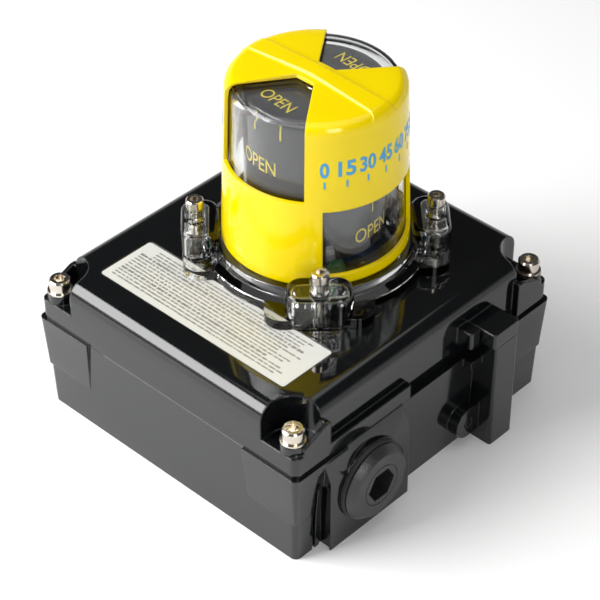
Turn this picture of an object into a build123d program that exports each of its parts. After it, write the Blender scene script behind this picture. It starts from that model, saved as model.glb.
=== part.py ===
from build123d import *
import math
import os

# Valve limit switch box: a rotary position indicator and switch enclosure that
# stands on a quarter-turn actuator.  Millimetres, +Z up along the drive shaft.
# Origin: the shaft axis on the mounting face.  -Y is the nameplate side, +X the
# side with the plugged conduit entry.

# ---------------------------------------------------------------- dimensions
CASE_CY = -11.4          # centre of the case from the shaft axis, along Y
CASE_HX = 69.0           # half length of the case along X at the joint line
CASE_HY = 72.75          # half length of the case along Y at the joint line
CASE_DRAFT = 1.5         # each wall leans in this much down to the mounting face
SPLIT_Z = 43.3           # joint line between base and lid
LID_TOP = 67.8           # flat top of the lid
FLOOR = 5.0              # thickness of the base floor
RIM_Z = 36.0             # underside of the thick rim that carries the gasket

SCREW_X = 62.7           # cover screws, from the centre of the case
SCREW_Y = 67.6
SCREW_SEAT = 56.9        # underside of the cover screw heads
POST_R = 7.5             # corner posts round the cover screws

PAD = 1.1                # corner pads stand this far out of the base
POCKET_R = 11.5          # scalloped pocket round each cover screw
POCKET_Z = 52.8          # pocket floor
SIDE_STEP = 3.0          # the lid is this much narrower between its corners in X

RECESS_R = 17.0          # recess in the underside round the drive end of the shaft
RECESS_D = 12.0
HUB_R = 15.0             # bearing hub on the floor
HUB_TOP = 34.0
PLINTH_R = 32.0          # thick ring of floor that takes the bracket bolts
PLINTH_TOP = 17.0
BRACKET_PCD = 50.0
BRACKET_HOLE_R = 2.55
BRACKET_HOLE_D = 10.0

SHAFT_R = 6.0
BUSH_BORE_R = 6.05
BUSH_R = 9.0
BUSH_FLANGE_R = 12.0
BUSH_LEN = 8.0

ENTRY_Y = -47.5          # both conduit entries
ENTRY_Z = 22.5
ENTRY_R = 11.9           # tapped wall of the M25 entry
BOSS_X = 73.0            # face of the conduit bosses
BOSS_W = 44.0

COLUMN_X = 79.5          # latch column at the end of the right side
COLUMN_Y0 = 16.6
COLUMN_Y1 = 30.0
COLUMN_TOP = 50.0
LUG_TOP = 57.0

PLATE_X = 48.8           # half length of the nameplate, and its two long edges
PLATE_Y0 = -69.6
PLATE_Y1 = -43.1

DOME_SEAT = 77.0         # ledge that the yellow cover stands on
DOME_RING_R = 44.3
DOME_BOLT_R = 46.8
POD_TOP = 82.6
HEAD_SEAT = 87.4         # underside of the indicator screw heads
ROTOR_R = 27.6
ROTOR_BOTTOM = 82.0
ROTOR_TOP = 143.2

os.makedirs("parts", exist_ok=True)


def save(part, label):
    """Name a finished piece and write its STEP file."""
    part.label = label
    export_step(part, f"parts/{label}.step")


def socket_screw(head_r, head_h, shank_r, length, key):
    """Hexagon socket cap screw, its head standing on z = 0, shank downwards."""
    with BuildPart() as screw:
        with BuildSketch(Plane.XY):
            Circle(head_r)
        extrude(amount=head_h)
        chamfer(screw.edges().sort_by(Axis.Z)[-1], length=0.12 * head_h)
        with BuildSketch(Plane.XY):
            Circle(shank_r)
        extrude(amount=-length)
        chamfer(screw.edges().sort_by(Axis.Z)[0], length=0.4 * shank_r)
        with BuildSketch(Plane.XY.offset(head_h)):
            RegularPolygon(key / math.sqrt(3), 6)
        extrude(amount=-0.55 * head_h, mode=Mode.SUBTRACT)
    return screw.part


def pan_screw(head_r, head_h, shank_r, length):
    """Slotted pan head screw, its head standing on z = 0, shank downwards."""
    with BuildPart() as screw:
        with BuildSketch(Plane.XY):
            Circle(head_r)
        extrude(amount=head_h)
        fillet(screw.edges().sort_by(Axis.Z)[-1], radius=0.4 * head_h)
        with BuildSketch(Plane.XY):
            Circle(shank_r)
        extrude(amount=-length)
        with BuildSketch(Plane.XY.offset(head_h)):
            Rectangle(2.2 * head_r, 0.32 * head_r)
        extrude(amount=-0.45 * head_h, mode=Mode.SUBTRACT)
    return screw.part


CORNERS = [(sx * SCREW_X, CASE_CY + sy * SCREW_Y) for sx in (-1, 1) for sy in (-1, 1)]
CASE = Plane(origin=(0, CASE_CY, 0))      # middle of the case on the mounting face
LID_PLANE = Plane(origin=(0, CASE_CY, SPLIT_Z))


def seal_path(grow):
    """Outline of the rim opening, stepping inside the corner posts, grown by grow."""
    with BuildSketch() as outline:
        RectangleRounded(2 * 61.0, 2 * 67.0, 2.0)
        with Locations(*[(sx * SCREW_X, sy * SCREW_Y) for sx in (-1, 1) for sy in (-1, 1)]):
            Circle(POST_R, mode=Mode.SUBTRACT)
        if grow:
            offset(amount=grow, kind=Kind.ARC)
    return outline.sketch


# ------------------------------------------------------------- base_housing
# Deep drafted tray in filled resin: corner posts for the cover screws, a thick
# rim with the gasket groove, bearing hub, conduit bosses and latch column.
with BuildPart() as base:
    with BuildSketch(CASE):
        RectangleRounded(2 * (CASE_HX - CASE_DRAFT), 2 * (CASE_HY - CASE_DRAFT), 2.6)
    with BuildSketch(CASE.offset(SPLIT_Z)):
        RectangleRounded(2 * CASE_HX, 2 * CASE_HY, 3.0)
    loft()
    # corner pads, flush with the wall at their foot
    with BuildSketch(CASE.offset(SPLIT_Z)):
        RectangleRounded(2 * (CASE_HX + PAD), 2 * (CASE_HY + PAD), 2.8)
        Rectangle(2 * (CASE_HX - 27), 2 * CASE_HY + 20, mode=Mode.SUBTRACT)
        Rectangle(2 * CASE_HX + 20, 2 * (CASE_HY - 27), mode=Mode.SUBTRACT)
    extrude(amount=-24.0, taper=4.3)
    # conduit bosses on both X sides, running out into the wall at the joint line
    for side in (-1, 1):
        with BuildSketch(Plane.XZ.offset(-(ENTRY_Y + BOSS_W / 2))):
            Polygon(
                (side * 62.0, 0),
                (side * BOSS_X, 0),
                (side * BOSS_X, 34.0),
                (side * (CASE_HX + 0.2), SPLIT_Z - 0.3),
                (side * 62.0, SPLIT_Z - 0.3),
                align=None,
            )
        extrude(amount=BOSS_W)
        with BuildSketch(Plane.YZ.offset(side * 62.0)):
            with Locations((ENTRY_Y, ENTRY_Z)):
                Circle(17.4)
        extrude(amount=side * (BOSS_X - 62.0))
    # latch column
    with BuildSketch(Plane.XY):
        with Locations(((COLUMN_X + 62) / 2, (COLUMN_Y0 + COLUMN_Y1) / 2)):
            RectangleRounded(COLUMN_X - 62, COLUMN_Y1 - COLUMN_Y0, 1.2)
    extrude(amount=SPLIT_Z)
    with BuildSketch(Plane.XY.offset(SPLIT_Z)):
        with Locations(((COLUMN_X + 66.4) / 2, (COLUMN_Y0 + COLUMN_Y1) / 2)):
            RectangleRounded(COLUMN_X - 66.4, COLUMN_Y1 - COLUMN_Y0, 1.2)
    extrude(amount=COLUMN_TOP - SPLIT_Z)
    # opening through the rim, then the wider cavity below it
    with BuildSketch(CASE.offset(RIM_Z - 0.01)):
        add(seal_path(0))
    extrude(amount=20, mode=Mode.SUBTRACT)
    with BuildSketch(CASE.offset(FLOOR)):
        RectangleRounded(2 * 63.9, 2 * 67.9, 2.0)
        with Locations(*[(sx * SCREW_X, sy * SCREW_Y) for sx in (-1, 1) for sy in (-1, 1)]):
            Circle(POST_R, mode=Mode.SUBTRACT)
        with Locations((63, 18.0 - CASE_CY)):
            Rectangle(12, 32, mode=Mode.SUBTRACT)
    extrude(amount=RIM_Z - FLOOR, mode=Mode.SUBTRACT)
    # gasket groove round the inside of the screws
    with BuildSketch(LID_PLANE):
        add(seal_path(3.4))
        add(seal_path(1.2), mode=Mode.SUBTRACT)
    extrude(amount=-2.0, mode=Mode.SUBTRACT)
    # plinth and bearing hub on the floor
    with BuildSketch(Plane.XY.offset(FLOOR - 1)):
        Circle(PLINTH_R)
    extrude(amount=PLINTH_TOP - FLOOR + 1)
    with BuildSketch(Plane.XY.offset(PLINTH_TOP - 1)):
        Circle(HUB_R)
    extrude(amount=HUB_TOP - PLINTH_TOP + 1)
    with BuildSketch(Plane.XY.offset(PLINTH_TOP - 1)):
        for k in range(4):
            with Locations(Rot(Z=90 * k) * Pos(X=22)):
                Rectangle(16, 3)
    extrude(amount=9, taper=4)
    # floor bosses for the sensor bracket, terminal strip and earth screw
    with BuildSketch(Plane.XY.offset(FLOOR - 1)):
        with Locations((-14, 42), (14, 42), (-39.5, -60), (39.5, -60), (50, -18)):
            Circle(4.2)
    extrude(amount=5.0)
    # recess, shaft passage, bushing seats and bracket holes
    with BuildSketch(Plane.XY):
        Circle(RECESS_R)
    extrude(amount=RECESS_D, mode=Mode.SUBTRACT)
    with BuildSketch(Plane.XY):
        Circle(BUSH_R + 0.02)
    extrude(amount=HUB_TOP + 1, mode=Mode.SUBTRACT)
    with BuildSketch(Plane.XY.offset(RECESS_D + BUSH_LEN + 0.02)):
        Circle(BUSH_R + 0.5)
        Circle(7.0, mode=Mode.SUBTRACT)
    extrude(amount=HUB_TOP - RECESS_D - 2 * BUSH_LEN - 0.04)
    with BuildSketch(Plane.XY):
        with PolarLocations(BRACKET_PCD / 2, 4, start_angle=45):
            Circle(BRACKET_HOLE_R)
    extrude(amount=BRACKET_HOLE_D, mode=Mode.SUBTRACT)
    # tapped holes for the cover screws and inner bosses
    with BuildSketch(Plane.XY.offset(SPLIT_Z)):
        with Locations(*CORNERS):
            Circle(2.6)
    extrude(amount=-20, mode=Mode.SUBTRACT)
    with BuildSketch(Plane.XY.offset(FLOOR + 4)):
        with Locations((-14, 42), (14, 42), (-39.5, -60), (39.5, -60), (50, -18)):
            Circle(1.65)
    extrude(amount=-7.5, mode=Mode.SUBTRACT)
    # conduit entries through both bosses
    with BuildSketch(Plane.YZ.offset(-BOSS_X)):
        with Locations((ENTRY_Y, ENTRY_Z)):
            Circle(ENTRY_R)
    extrude(amount=14, mode=Mode.SUBTRACT)
    with BuildSketch(Plane.YZ.offset(BOSS_X)):
        with Locations((ENTRY_Y, ENTRY_Z)):
            Circle(ENTRY_R)
    extrude(amount=-14, mode=Mode.SUBTRACT)
    # moulding slots beside the right conduit boss
    with BuildSketch(Plane.XY):
        with Locations((CASE_HX, ENTRY_Y - BOSS_W / 2 - 3.6), (CASE_HX + 0.6, ENTRY_Y - BOSS_W / 2 + 0.2)):
            Rectangle(5.4, 1.5)
    extrude(amount=31, mode=Mode.SUBTRACT)
    # round-ended ear beside the foot of the column and a block under the joint
    with BuildSketch(Plane.YZ.offset(66)):
        with Locations((10.3, 12.1)):
            Circle(6.8)
        with Locations((14.3, 12.1)):
            Rectangle(8.0, 13.6)
    extrude(amount=7.0)
    with BuildSketch(Plane.YZ.offset(66)):
        with Locations((13.8, 41.3)):
            Rectangle(7.6, 3.6)
    extrude(amount=7.0)
    with BuildSketch(Plane.YZ.offset(73)):
        with Locations((10.3, 12.1)):
            Circle(2.2)
            Circle(1.7, mode=Mode.SUBTRACT)
    extrude(amount=-0.4, mode=Mode.SUBTRACT)
save(base.part, "base_housing")


# ---------------------------------------------------------------------- lid
# Shallow cover with a broad rounded edge, a scalloped pocket at every corner
# and the round opening that the indicator rotor passes through.
with BuildPart() as lid:
    with BuildSketch(LID_PLANE):
        RectangleRounded(2 * (CASE_HX - SIDE_STEP), 2 * CASE_HY, 7.0)
    extrude(amount=LID_TOP - SPLIT_Z)
    fillet(lid.faces().sort_by(Axis.Z)[-1].edges(), radius=6.9)
    # full-width corner blocks
    with BuildSketch(LID_PLANE):
        RectangleRounded(2 * CASE_HX, 2 * CASE_HY, 3.2)
        Rectangle(2 * CASE_HX + 2, 2 * 54.0, mode=Mode.SUBTRACT)
        Rectangle(2 * 56.0, 2 * CASE_HY + 2, mode=Mode.SUBTRACT)
    extrude(amount=17.0)
    # pocket round each cover screw, open to both sides of its corner
    for sx in (-1, 1):
        for sy in (-1, 1):
            with BuildSketch(LID_PLANE.offset(POCKET_Z - SPLIT_Z)):
                with Locations((sx * SCREW_X, sy * SCREW_Y)):
                    Circle(POCKET_R)
                with Locations((sx * (SCREW_X + 10), sy * SCREW_Y)):
                    Rectangle(20, 2 * POCKET_R)
                with Locations((sx * SCREW_X, sy * (SCREW_Y + 10))):
                    Rectangle(2 * POCKET_R, 20)
            extrude(amount=20, mode=Mode.SUBTRACT)
    # low wall along the X side of each pocket, its top rising from the corner
    for sx in (-1, 1):
        for sy in (-1, 1):
            with BuildSketch(Plane.YZ.offset(sx * CASE_HX)):
                with BuildLine():
                    Polyline(
                        (CASE_CY + sy * (CASE_HY - 4.5), POCKET_Z - 2),
                        (CASE_CY + sy * (CASE_HY - 4.5), POCKET_Z + 2.6),
                        (CASE_CY + sy * 56.5, SPLIT_Z + 17.0),
                        (CASE_CY + sy * 55.0, SPLIT_Z + 17.0),
                        (CASE_CY + sy * 55.0, POCKET_Z - 2),
                        close=True,
                    )
                make_face()
            extrude(amount=-sx * 1.7)
    # seat round each cover screw
    with BuildSketch(Plane.XY.offset(SPLIT_Z)):
        with Locations(*CORNERS):
            Circle(5.1)
    extrude(amount=SCREW_SEAT - SPLIT_Z)
    # band along the foot of the right side, above the conduit boss
    with BuildSketch(Plane.XY.offset(SPLIT_Z)):
        with Locations(((60 + CASE_HX) / 2, -44.0)):
            RectangleRounded(CASE_HX - 60, 47.0, 1.0)
    extrude(amount=6.4)
    # latch lug over the column
    with BuildSketch(Plane.XY.offset(COLUMN_TOP + 0.3)):
        with Locations(((60 + COLUMN_X) / 2, (COLUMN_Y0 + COLUMN_Y1) / 2 - 0.6)):
            RectangleRounded(COLUMN_X - 60, COLUMN_Y1 - COLUMN_Y0 + 1.2, 1.2)
    extrude(amount=LUG_TOP - COLUMN_TOP - 0.3)
    # small block beside the lug
    with BuildSketch(Plane.XY.offset(COLUMN_TOP + 0.3)):
        with Locations(((60 + 73.0) / 2, 12.0)):
            RectangleRounded(73.0 - 60, 6.0, 1.2)
    extrude(amount=7.4)
    # shallow seat for the nameplate
    with BuildSketch(Plane.XY.offset(LID_TOP)):
        with Locations((0, (PLATE_Y0 + PLATE_Y1) / 2)):
            RectangleRounded(2 * PLATE_X + 0.6, PLATE_Y1 - PLATE_Y0 + 0.6, 1.5)
    extrude(amount=-0.25, mode=Mode.SUBTRACT)
    # hollow inside, clear of the corner pockets
    with BuildSketch(LID_PLANE):
        RectangleRounded(2 * 61.4, 2 * 67.4, 3.0)
        with Locations(*[(sx * SCREW_X, sy * SCREW_Y) for sx in (-1, 1) for sy in (-1, 1)]):
            Circle(POCKET_R + 2.8, mode=Mode.SUBTRACT)
    extrude(amount=20.1, mode=Mode.SUBTRACT)
    # seats for the indicator screws and a rib ring under the opening
    with BuildSketch(Plane.XY.offset(54)):
        with PolarLocations(DOME_BOLT_R, 4, start_angle=45):
            Circle(5.0)
    extrude(amount=10)
    with BuildSketch(Plane.XY.offset(59)):
        Circle(32.0)
    extrude(amount=5)
    with BuildSketch(Plane.XY.offset(50)):
        Circle(29.0)
    extrude(amount=20, mode=Mode.SUBTRACT)
    with BuildSketch(Plane.XY.offset(LID_TOP)):
        Circle(37.3)
        Circle(34.5, mode=Mode.SUBTRACT)
    extrude(amount=-1.9, mode=Mode.SUBTRACT)
    with BuildSketch(Plane.XY.offset(LID_TOP)):
        with PolarLocations(DOME_BOLT_R, 4, start_angle=45):
            Circle(2.05)
    extrude(amount=-12.4, mode=Mode.SUBTRACT)
    with BuildSketch(Plane.XY.offset(SPLIT_Z - 1)):
        with Locations(*CORNERS):
            Circle(2.8)
    extrude(amount=30, mode=Mode.SUBTRACT)
save(lid.part, "lid")


# --------------------------------------------------------------- lid_gasket
# Flat rubber cord in the base groove.
with BuildPart() as gasket:
    with BuildSketch(LID_PLANE.offset(-1.96)):
        add(seal_path(3.3))
        add(seal_path(1.3), mode=Mode.SUBTRACT)
    extrude(amount=1.94)
save(gasket.part, "lid_gasket")


# --------------------------------------------------------------- lid_screws
# Four stainless M5 socket cap screws, held captive in the lid.
cover_screw = socket_screw(4.25, 5.0, 2.4, 26.0, 4.0)
with BuildPart() as lid_screws:
    with Locations(*[(x, y, SCREW_SEAT + 0.8) for x, y in CORNERS]):
        add(cover_screw)
save(lid_screws.part, "lid_screws")

# Plain washers under the cover screw heads.
with BuildPart() as lid_washers:
    with BuildSketch(Plane.XY.offset(SCREW_SEAT)):
        with Locations(*CORNERS):
            Circle(5.0)
        with Locations(*CORNERS):
            Circle(2.65, mode=Mode.SUBTRACT)
    extrude(amount=0.8)
save(lid_washers.part, "lid_washers")


# ----------------------------------------------------------- indicator_dome
# Clear moulded dome: drafted wall with a stepped shoulder, ring flange with a
# ledge for the cover, and four cored screw pods standing on wider feet.
with BuildPart() as pod:
    with BuildSketch(Plane.XY.offset(LID_TOP)):
        with Locations((45.0, 0)):
            RectangleRounded(15.2, 25.8, 6.4)
    extrude(amount=POD_TOP - LID_TOP)
    fillet(pod.faces().sort_by(Axis.Z)[-1].edges(), radius=2.4)
    with BuildSketch(Plane.XY.offset(LID_TOP)):
        with Locations((DOME_BOLT_R, 0)):
            Circle(3.9)
    extrude(amount=HEAD_SEAT - LID_TOP)

with BuildPart() as dome:
    with BuildSketch(Plane.XZ):
        with BuildLine():
            Polyline(
                (32.4, LID_TOP),
                (DOME_RING_R, LID_TOP),
                (DOME_RING_R, LID_TOP + 4.4),
                (41.2, LID_TOP + 5.8),
                (40.2, DOME_SEAT),
                (34.9, DOME_SEAT),
                (32.9, 141.5),
                (32.5, 144.4),
                (31.4, 145.9),
                (29.8, 146.5),
                (0, 146.9),
                (0, 144.7),
                (28.8, 144.4),
                (30.1, 143.6),
                (30.6, 141.0),
                (32.4, 74.0),
                close=True,
            )
        make_face()
    revolve(axis=Axis.Z)
    with BuildSketch(Plane.XY.offset(LID_TOP)):
        for k in range(4):
            with Locations(Rot(Z=45 + 90 * k) * Pos(X=43.2)):
                RectangleRounded(17.0, 42.0, 7.0)
        Circle(36.0, mode=Mode.SUBTRACT)
    extrude(amount=4.4)
    with PolarLocations(0, 4, start_angle=45):
        add(pod.part)
    # pods are cored from below round a screw post
    with BuildSketch(Plane.XY.offset(LID_TOP)):
        for k in range(4):
            with Locations(Rot(Z=45 + 90 * k) * Pos(X=46.0)):
                RectangleRounded(9.0, 21.0, 3.6)
        with PolarLocations(DOME_BOLT_R, 4, start_angle=45):
            Circle(3.9, mode=Mode.SUBTRACT)
    extrude(amount=POD_TOP - LID_TOP - 2.6, mode=Mode.SUBTRACT)
    with BuildSketch(Plane.XY.offset(LID_TOP)):
        with PolarLocations(DOME_BOLT_R, 4, start_angle=45):
            Circle(2.2)
    extrude(amount=30, mode=Mode.SUBTRACT)
save(dome.part, "indicator_dome")


# -------------------------------------------------------------- dome_gasket
# O-ring in the lid groove under the dome flange.
with BuildPart() as dome_gasket:
    with BuildSketch(Plane.XZ):
        with Locations((35.9, LID_TOP - 0.96)):
            RectangleRounded(2.5, 1.8, 0.7)
    revolve(axis=Axis.Z)
save(dome_gasket.part, "dome_gasket")


# -------------------------------------------------------------- dome_screws
# Four stainless M4 socket cap screws through the pods.
indicator_screw = socket_screw(3.5, 4.0, 1.97, 31.0, 3.0)
with BuildPart() as dome_screws:
    with Locations(Plane.XY.offset(HEAD_SEAT)):
        with PolarLocations(DOME_BOLT_R, 4, start_angle=45):
            add(indicator_screw)
save(dome_screws.part, "dome_screws")


# ---------------------------------------------------------- indicator_cover
# Opaque cover over the dome.  Upper windows on +Y and -Y run over the shoulder
# into the top; lower windows face +X and -X.  A flat bar crosses the top in X.
with BuildPart() as cover:
    with BuildSketch(Plane.XZ):
        with BuildLine():
            l1 = Line((0, DOME_SEAT + 0.05), (37.0, DOME_SEAT + 0.05))
            l2 = Line(l1 @ 1, (34.6, 143.0))
            l3 = RadiusArc(l2 @ 1, (30.8, 147.6), -4.6)
            l4 = Line(l3 @ 1, (0, 149.2))
            l5 = Line(l4 @ 1, l1 @ 0)
        make_face()
    revolve(axis=Axis.Z)
    # raised bar
    with BuildSketch(Plane.YZ.offset(-40)):
        with Locations((0, 146.6)):
            Trapezoid(14.6, 7.4, 60)
    extrude(amount=80, mode=Mode.ADD)
    # trim the bar to the round of the cover
    with BuildSketch(Plane.XZ):
        with BuildLine():
            l1 = Line((0, DOME_SEAT + 0.05), (37.0, DOME_SEAT + 0.05))
            l2 = Line(l1 @ 1, (34.6, 143.0))
            l3 = RadiusArc(l2 @ 1, (30.6, 148.3), -4.9)
            l4 = Line(l3 @ 1, (0, 150.3))
            l5 = Line(l4 @ 1, l1 @ 0)
        make_face()
    revolve(axis=Axis.Z, mode=Mode.INTERSECT)
    # inside
    with BuildSketch(Plane.XZ):
        with BuildLine():
            l1 = Line((0, DOME_SEAT - 1), (35.2, DOME_SEAT - 1))
            l2 = Line(l1 @ 1, (33.2, 141.5))
            l3 = Line(l2 @ 1, (32.8, 144.7))
            l4 = Line(l3 @ 1, (31.5, 146.4))
            l5 = Line(l4 @ 1, (29.8, 146.95))
            l6 = Line(l5 @ 1, (0, 147.3))
            l7 = Line(l6 @ 1, l1 @ 0)
        make_face()
    revolve(axis=Axis.Z, mode=Mode.SUBTRACT)
    # upper windows with their top sectors
    slant = math.tan(math.radians(36))
    for turn in (-1, 1):
        with BuildSketch(Plane.XY.offset(114.0)):
            Polygon(
                (-6.0 * slant, turn * 6.0),
                (-50 * slant, turn * 50),
                (50 * slant, turn * 50),
                (6.0 * slant, turn * 6.0),
                align=None,
            )
        extrude(amount=50, mode=Mode.SUBTRACT)
    # lower windows
    slant = math.tan(math.radians(43))
    for turn in (-1, 1):
        with BuildSketch(Plane.XY.offset(81.0)):
            Polygon(
                (turn * 20, 20 * slant),
                (turn * 50, 50 * slant),
                (turn * 50, -50 * slant),
                (turn * 20, -20 * slant),
                align=None,
            )
        extrude(amount=29.4, mode=Mode.SUBTRACT)
save(cover.part, "indicator_cover")


# ---------------------------------------------------------- indicator_rotor
# Black moulded drum, open below, hung on the top of the shaft by a ribbed hub.
with BuildPart() as rotor:
    with BuildSketch(Plane.XY.offset(ROTOR_BOTTOM)):
        Circle(ROTOR_R)
    extrude(amount=ROTOR_TOP - ROTOR_BOTTOM)
    fillet(rotor.edges().filter_by(GeomType.CIRCLE).sort_by(Axis.Z)[-1], radius=1.2)
    with BuildSketch(Plane.XY.offset(ROTOR_BOTTOM)):
        Circle(ROTOR_R - 1.8)
    extrude(amount=ROTOR_TOP - ROTOR_BOTTOM - 2.0, mode=Mode.SUBTRACT)
    with BuildSketch(Plane.XY.offset(108)):
        Circle(8.0)
        with PolarLocations(0, 4):
            with Locations((ROTOR_R / 2, 0)):
                Rectangle(ROTOR_R - 2, 1.8)
    extrude(amount=ROTOR_TOP - 1.0 - 108)
    with BuildSketch(Plane.XY.offset(108)):
        Circle(5.03)
    extrude(amount=31.0, mode=Mode.SUBTRACT)
    with BuildSketch(Plane.XY.offset(ROTOR_TOP)):
        Circle(5.5)
    extrude(amount=-2.4, mode=Mode.SUBTRACT)
    with BuildSketch(Plane.XY.offset(ROTOR_TOP)):
        Circle(2.1)
    extrude(amount=-8, mode=Mode.SUBTRACT)
save(rotor.part, "indicator_rotor")

rotor_top_screw = pan_screw(4.2, 2.0, 1.9, 12.0)
with BuildPart() as rotor_screw:
    with Locations((0, 0, ROTOR_TOP - 2.4)):
        add(rotor_top_screw)
save(rotor_screw.part, "rotor_screw")


# -------------------------------------------------------------------- shaft
# Stainless shaft: slotted drive end in the recess, thrust collar under the
# lower bushing, grooves for the O-ring and retaining ring, slim upper end.
with BuildPart() as shaft:
    with BuildSketch(Plane.XZ):
        with BuildLine():
            Polyline(
                (0, 0.6),
                (5.4, 0.6),
                (SHAFT_R, 1.2),
                (SHAFT_R, 8.6),
                (8.6, 8.6),
                (8.6, 10.2),
                (SHAFT_R, 10.2),
                (SHAFT_R, 21.9),
                (4.6, 21.9),
                (4.6, 24.5),
                (SHAFT_R, 24.5),
                (SHAFT_R, HUB_TOP + 2.4),
                (5.2, HUB_TOP + 2.4),
                (5.2, HUB_TOP + 3.5),
                (SHAFT_R, HUB_TOP + 3.5),
                (SHAFT_R, 64.0),
                (5.0, 66.0),
                (5.0, 138.4),
                (4.4, 139.0),
                (0, 139.0),
                close=True,
            )
        make_face()
    revolve(axis=Axis.Z)
    with BuildSketch(Plane.XY.offset(0.6)):
        Rectangle(14, 3.0)
    extrude(amount=3.5, mode=Mode.SUBTRACT)
    with BuildSketch(Plane.XY.offset(139.0)):
        Circle(1.95)
    extrude(amount=-12.0, mode=Mode.SUBTRACT)
save(shaft.part, "shaft")


# ------------------------------------------------------ bushings and sealing
# Flanged bronze bushings pressed into each end of the hub.
with BuildPart() as lower_bushing:
    with BuildSketch(Plane.XY.offset(RECESS_D)):
        Circle(BUSH_R)
    extrude(amount=BUSH_LEN)
    with BuildSketch(Plane.XY.offset(RECESS_D)):
        Circle(BUSH_FLANGE_R)
    extrude(amount=-1.5)
    with BuildSketch(Plane.XY.offset(RECESS_D - 2)):
        Circle(BUSH_BORE_R)
    extrude(amount=BUSH_LEN + 4, mode=Mode.SUBTRACT)
save(lower_bushing.part, "lower_bushing")

with BuildPart() as upper_bushing:
    with BuildSketch(Plane.XY.offset(HUB_TOP)):
        Circle(BUSH_R)
    extrude(amount=-BUSH_LEN)
    with BuildSketch(Plane.XY.offset(HUB_TOP)):
        Circle(BUSH_FLANGE_R)
    extrude(amount=1.5)
    with BuildSketch(Plane.XY.offset(HUB_TOP + 2)):
        Circle(BUSH_BORE_R)
    extrude(amount=-(BUSH_LEN + 4), mode=Mode.SUBTRACT)
save(upper_bushing.part, "upper_bushing")

with BuildPart() as shaft_seal:
    with BuildSketch(Plane.XZ):
        with Locations((5.75, 23.2)):
            RectangleRounded(2.1, 2.3, 1.0)
    revolve(axis=Axis.Z)
save(shaft_seal.part, "shaft_seal")

with BuildPart() as thrust_washer:
    with BuildSketch(Plane.XY.offset(HUB_TOP + 1.55)):
        Circle(10.0)
        Circle(SHAFT_R + 0.06, mode=Mode.SUBTRACT)
    extrude(amount=0.8)
save(thrust_washer.part, "thrust_washer")

with BuildPart() as retaining_ring:
    with BuildSketch(Plane.XY.offset(HUB_TOP + 2.45)):
        Circle(8.2)
        Circle(5.25, mode=Mode.SUBTRACT)
        with Locations((7, 0)):
            Rectangle(6, 5.0, mode=Mode.SUBTRACT)
    extrude(amount=1.0)
save(retaining_ring.part, "retaining_ring")


CAM_H = 8.0


# --------------------------------------------------------------------- cams
# Two clamped cams, each with a magnet in its lobe and a radial set screw.
def cam_disc(bottom, lobe_angle):
    """Cam with a bearing boss, a lobe that holds the magnet and a set-screw hole."""
    lobe = Plane.XY.offset(bottom).rotated((0, 0, lobe_angle))
    with BuildPart() as cam:
        with BuildSketch(lobe):
            Circle(12.0)
            with Locations((9.5, 0)):
                RectangleRounded(13.0, 12.0, 2.5)
        extrude(amount=CAM_H)
        fillet(cam.edges().filter_by(Axis.Z), radius=1.0)
        with BuildSketch(lobe):
            Circle(SHAFT_R + 0.02)
        extrude(amount=CAM_H, mode=Mode.SUBTRACT)
        side = Plane(origin=(0, 0, bottom + CAM_H / 2), x_dir=(0, 0, 1), z_dir=lobe.x_dir)
        with BuildSketch(side):
            Circle(1.9)
        extrude(amount=-20, mode=Mode.SUBTRACT)
        with BuildSketch(side.offset(16.1)):
            Circle(3.03)
        extrude(amount=-3.1, mode=Mode.SUBTRACT)
    return cam.part


CAMS = [("lower_cam", 39.0, 90), ("upper_cam", 49.2, 0)]
cam_parts = [cam_disc(bottom, angle) for name, bottom, angle in CAMS]
for (name, bottom, angle), piece in zip(CAMS, cam_parts):
    save(piece, name)

with BuildPart() as magnets:
    for name, bottom, angle in CAMS:
        direction = (math.cos(math.radians(angle)), math.sin(math.radians(angle)), 0)
        with BuildSketch(Plane(origin=(0, 0, bottom + CAM_H / 2), x_dir=(0, 0, 1), z_dir=direction).offset(15.8)):
            Circle(3.0)
        extrude(amount=-2.8)
save(magnets.part, "cam_magnets")

with BuildPart() as cam_set_screws:
    for name, bottom, angle in CAMS:
        direction = (-math.cos(math.radians(angle)), -math.sin(math.radians(angle)), 0)
        with BuildSketch(Plane(origin=(0, 0, bottom + CAM_H / 2), x_dir=(0, 0, 1), z_dir=direction).offset(11.7)):
            Circle(1.87)
            RegularPolygon(1.1, 6, mode=Mode.SUBTRACT)
        extrude(amount=-5.5)
save(cam_set_screws.part, "cam_set_screws")


# ---------------------------------------------------------- sensor bracket
# Folded steel bracket on two floor bosses.  The lower sensor faces +Y lobe
# travel, the upper one is reached a quarter turn later.
with BuildPart() as bracket:
    with BuildSketch(Plane.XY.offset(FLOOR + 4)):
        with Locations((0, 42)):
            RectangleRounded(44, 12, 2.0)
    extrude(amount=1.5)
    with BuildSketch(Plane.XY.offset(FLOOR + 4)):
        with Locations((0, 36.0)):
            Rectangle(44, 1.5)
    extrude(amount=50.0)
    with BuildSketch(Plane.XZ.offset(-36.0)):
        with Locations((0, 23)):
            SlotOverall(20, 7)
    extrude(amount=4, both=True, mode=Mode.SUBTRACT)
    with BuildSketch(Plane.XZ.offset(-36.0)):
        with Locations((-11, 43.0), (11, 43.0), (-11, 53.2), (11, 53.2)):
            Circle(1.7)
    extrude(amount=4, both=True, mode=Mode.SUBTRACT)
    with BuildSketch(Plane.XY.offset(FLOOR + 4)):
        with Locations((-14, 42), (14, 42)):
            Circle(2.0)
    extrude(amount=3, mode=Mode.SUBTRACT)
save(bracket.part, "sensor_bracket")


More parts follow.
